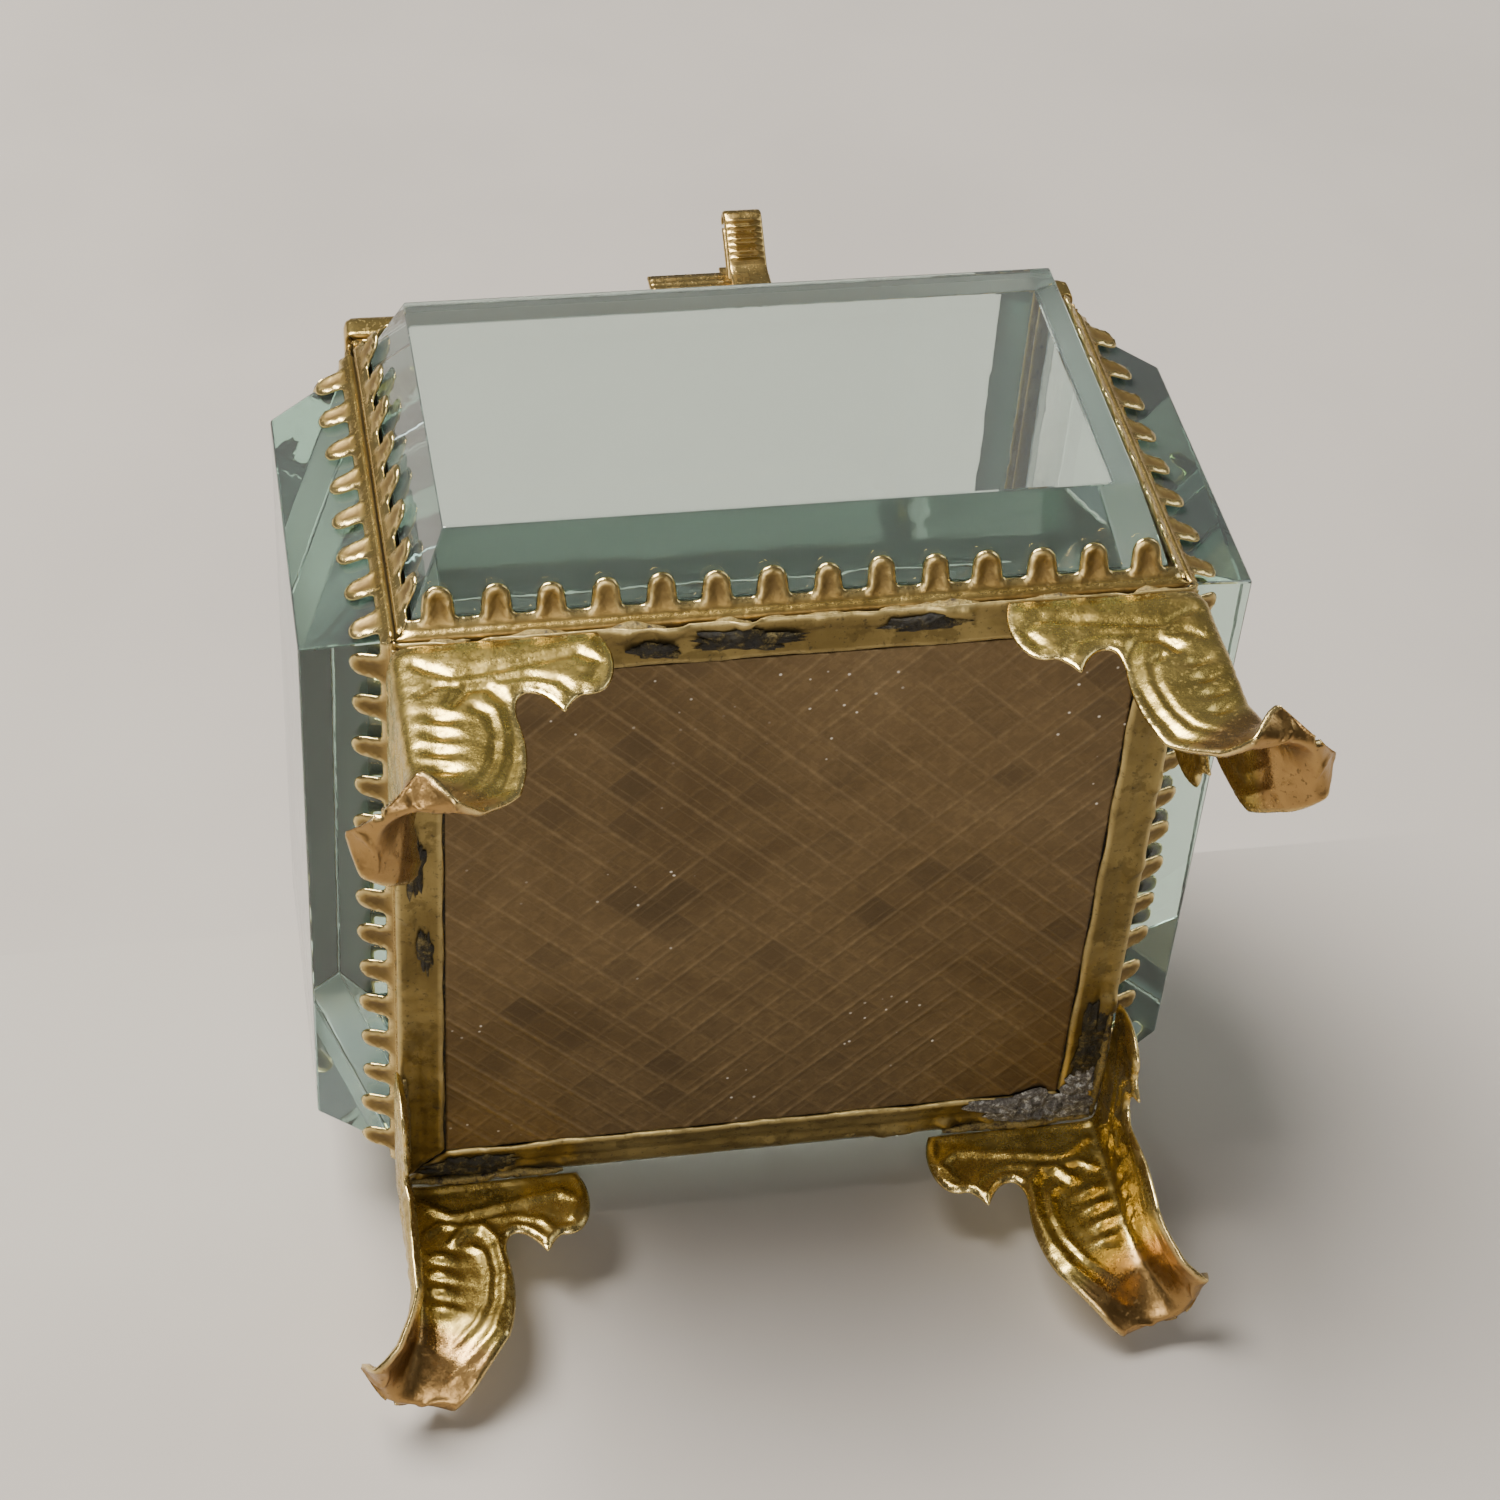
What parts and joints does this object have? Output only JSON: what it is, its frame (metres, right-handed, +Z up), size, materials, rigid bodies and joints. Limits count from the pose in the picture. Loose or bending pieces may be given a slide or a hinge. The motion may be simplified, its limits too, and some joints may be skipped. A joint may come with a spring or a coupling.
{
  "type": "footed glass trinket casket",
  "caption": "Small square casket of bevelled glass panels held in toothed gilt-brass strips, on folded corner feet, with a back-hinged lid and a sprung thumb catch at the front.",
  "frame": {"origin": "on the surface the feet stand on, under the middle of the box", "axes": "+Z up, -Y the front with the catch, +X to the right of a person facing the front"},
  "size_m": [0.0602, 0.0602, 0.0547],
  "materials": {
    "gilt_brass": "aged gilding, worn and browned in the folds",
    "foot_brass": "pale stamped gilt brass, coppery at the toes",
    "catch_brass": "bright ribbed gilt brass",
    "patterned_plate": "matt brown bronze with a diamond pattern",
    "bevelled_glass": "polished, pale green at the edges",
    "pin_steel": "drawn wire"
  },
  "bodies": {
    "casket": {"base_plate": "patterned_plate", "base_rail_front": "gilt_brass", "base_rail_right": "gilt_brass", "base_rail_back": "gilt_brass", "base_rail_left": "gilt_brass", "glass_front": "bevelled_glass", "strip_front_bottom": "gilt_brass", "strip_front_top": "gilt_brass", "strip_front_left": "gilt_brass", "strip_front_right": "gilt_brass", "glass_right": "bevelled_glass", "strip_right_bottom": "gilt_brass", "strip_right_top": "gilt_brass", "strip_right_left": "gilt_brass", "strip_right_right": "gilt_brass", "glass_back": "bevelled_glass", "strip_back_bottom": "gilt_brass", "strip_back_top": "gilt_brass", "strip_back_left": "gilt_brass", "strip_back_right": "gilt_brass", "glass_left": "bevelled_glass", "strip_left_bottom": "gilt_brass", "strip_left_top": "gilt_brass", "strip_left_left": "gilt_brass", "strip_left_right": "gilt_brass", "foot_back_right": "foot_brass", "foot_back_left": "foot_brass", "foot_front_left": "foot_brass", "foot_front_right": "foot_brass", "hinge_body_leaf": "gilt_brass", "hinge_pin": "pin_steel"},
    "lid": {"glass_lid": "bevelled_glass", "lid_strip_front": "gilt_brass", "lid_strip_right": "gilt_brass", "lid_strip_back": "gilt_brass", "lid_strip_left": "gilt_brass", "hinge_lid_leaf": "gilt_brass", "catch_plate": "catch_brass"},
    "catch": {"catch_thumb": "catch_brass"}
  },
  "joints": [
    {"name": "lid_hinge", "type": "hinge", "parent": "casket", "child": "lid", "pos_m": [0, 0.0271, 0.04795], "axis": [-1, 0, 0], "range_deg": [0, 100]},
    {"name": "catch_flex", "type": "hinge", "parent": "lid", "child": "catch", "pos_m": [0.0025, -0.02836, 0.05399], "axis": [1, 0, 0], "range_deg": [0, 3], "stiffness_Nm_per_rad": 0.2}
  ]
}
